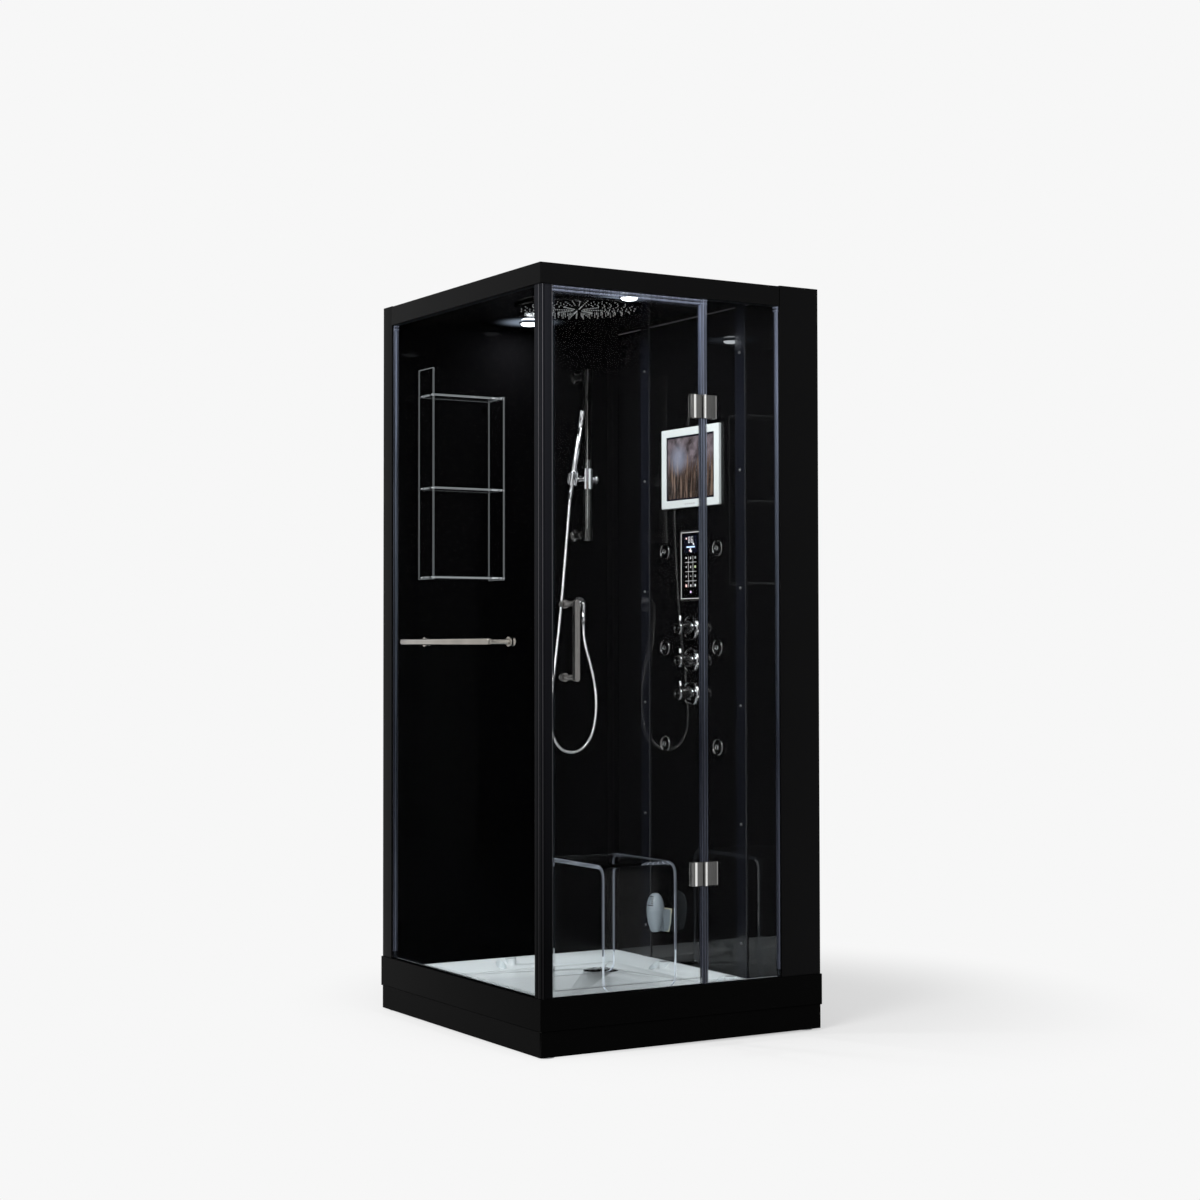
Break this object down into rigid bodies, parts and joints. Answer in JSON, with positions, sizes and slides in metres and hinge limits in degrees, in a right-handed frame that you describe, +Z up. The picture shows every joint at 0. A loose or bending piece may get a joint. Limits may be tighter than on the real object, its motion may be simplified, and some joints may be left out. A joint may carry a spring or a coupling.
{
  "type": "steam shower cabin",
  "caption": "Square corner steam shower cabin: glass door and side pane, black service wall with screen, controls, valves and jets, sliding hand shower, shelf and stool.",
  "frame": {"origin": "middle of the base, on the floor", "axes": "+Z up; -Y faces the door side, -X faces the fixed side pane, +X is the service wall, +Y is the plain wall"},
  "size_m": [1.0695, 1.0555, 2.263],
  "materials": {
    "black_profile": "satin black coated profile",
    "black_panel": "glossy black back-painted glass",
    "black_gloss": "glossy black",
    "white_acrylic": "glossy white acrylic",
    "clear_glass": "clear toughened glass",
    "clear_acrylic": "clear acrylic sheet",
    "clear_seal": "translucent soft vinyl",
    "chrome": "polished",
    "steel": "satin",
    "galvanised": "galvanised",
    "screen": "dark display glass",
    "white_plastic": "glossy white",
    "grey_plastic": "moulded, matt",
    "pale_plastic": "moulded, pale blue grey",
    "brass": "satin",
    "lamp_lens": "frosted lens"
  },
  "bodies": {
    "cabin": {"base_frame": "galvanised", "levelling_feet": "steel", "base_band": "black_profile", "skirts": "black_profile", "tray": "white_acrylic", "drain_trap": "grey_plastic", "corner_post": "black_profile", "left_wall_end": "black_profile", "service_front": "black_profile", "back_corner_trim": "black_profile", "left_wall_panel": "black_panel", "left_wall_frame": "galvanised", "service_frame": "galvanised", "rear_sheets": "galvanised", "service_panels": "black_panel", "service_trims": "black_gloss", "roof_frame": "black_profile", "roof_cover": "grey_plastic", "ceiling_panel": "black_gloss", "rain_head": "chrome", "led_spots": "lamp_lens", "side_glass": "clear_glass", "fixed_glass": "clear_glass", "pane_seals": "clear_seal", "hinge_fixed_leaves": "chrome", "towel_rail": "chrome", "tv_housing": "white_plastic", "tv_screen": "screen", "control_frame": "steel", "control_glass": "black_panel", "valve_plates": "chrome", "jet_housings": "chrome", "steam_cup": "pale_plastic", "steam_dome": "pale_plastic", "slide_rail": "chrome", "shower_hose": "chrome", "wall_outlet": "chrome", "shelf_sides": "clear_acrylic", "shelf_plates": "clear_acrylic", "steam_generator": "steel", "pipework": "brass"},
    "door": {"door_glass": "clear_glass", "door_seals": "clear_seal", "door_handle": "chrome", "hinge_door_leaves": "chrome"},
    "slider": {"rail_slider": "chrome"},
    "lock": {"lock_knob": "chrome"},
    "holder": {"shower_holder": "chrome"},
    "wand": {"hand_shower": "chrome"},
    "seat": {"stool": "clear_acrylic"},
    "strainer": {"drain_cover": "chrome"},
    "valve_1": {"valve_knob_1": "chrome"},
    "valve_2": {"valve_knob_2": "chrome"},
    "valve_3": {"valve_knob_3": "chrome"},
    "jet_1": {"jet_nozzle_1": "chrome"},
    "jet_2": {"jet_nozzle_2": "chrome"},
    "jet_3": {"jet_nozzle_3": "chrome"},
    "jet_4": {"jet_nozzle_4": "chrome"},
    "jet_5": {"jet_nozzle_5": "chrome"},
    "jet_6": {"jet_nozzle_6": "chrome"}
  },
  "joints": [
    {"name": "door_swing", "type": "hinge", "parent": "cabin", "child": "door", "pos_m": [0.072, -0.493, 1.185], "axis": [0, 0, 1], "range_deg": [0, 100]},
    {"name": "valve_1_turn", "type": "hinge", "parent": "cabin", "child": "valve_1", "pos_m": [0.32, -0.032, 1.2265], "axis": [1, 0, 0], "range_deg": [-90, 90]},
    {"name": "valve_2_turn", "type": "hinge", "parent": "cabin", "child": "valve_2", "pos_m": [0.32, -0.032, 1.1215], "axis": [1, 0, 0], "range_deg": [-90, 90]},
    {"name": "valve_3_turn", "type": "hinge", "parent": "cabin", "child": "valve_3", "pos_m": [0.32, -0.032, 1.0165], "axis": [1, 0, 0], "range_deg": [-90, 90]},
    {"name": "jet_1_tilt", "type": "hinge", "parent": "cabin", "child": "jet_1", "pos_m": [0.352, 0.114, 1.4765], "axis": [0, 1, 0], "range_deg": [-20, 20]},
    {"name": "jet_2_tilt", "type": "hinge", "parent": "cabin", "child": "jet_2", "pos_m": [0.352, 0.114, 1.1625], "axis": [0, 1, 0], "range_deg": [-20, 20]},
    {"name": "jet_3_tilt", "type": "hinge", "parent": "cabin", "child": "jet_3", "pos_m": [0.352, 0.114, 0.849], "axis": [0, 1, 0], "range_deg": [-20, 20]},
    {"name": "jet_4_tilt", "type": "hinge", "parent": "cabin", "child": "jet_4", "pos_m": [0.352, -0.178, 1.4765], "axis": [0, 1, 0], "range_deg": [-20, 20]},
    {"name": "jet_5_tilt", "type": "hinge", "parent": "cabin", "child": "jet_5", "pos_m": [0.352, -0.178, 1.1625], "axis": [0, 1, 0], "range_deg": [-20, 20]},
    {"name": "jet_6_tilt", "type": "hinge", "parent": "cabin", "child": "jet_6", "pos_m": [0.352, -0.178, 0.849], "axis": [0, 1, 0], "range_deg": [-20, 20]},
    {"name": "slider_travel", "type": "slide", "parent": "cabin", "child": "slider", "axis": [0, 0, 1], "range_m": [-0.13, 0.25], "deforming": ["shower_hose"]},
    {"name": "lock_turn", "type": "hinge", "parent": "slider", "child": "lock", "pos_m": [0.217, 0.358, 1.726], "axis": [1, 0, 0], "range_deg": [0, 180]},
    {"name": "holder_tilt", "type": "hinge", "parent": "slider", "child": "holder", "pos_m": [0.16, 0.358, 1.726], "axis": [1, 0, 0], "range_deg": [-30, 40], "deforming": ["shower_hose"]},
    {"name": "wand_lift", "type": "slide", "parent": "holder", "child": "wand", "axis": [0, -0.2723, 0.9622], "range_m": [0, 0.12], "deforming": ["shower_hose"]},
    {"name": "stool_lift", "type": "slide", "parent": "cabin", "child": "seat", "axis": [0, 0, 1], "range_m": [0, 0.3]},
    {"name": "strainer_lift", "type": "slide", "parent": "cabin", "child": "strainer", "axis": [0, 0, 1], "range_m": [0, 0.05]}
  ]
}
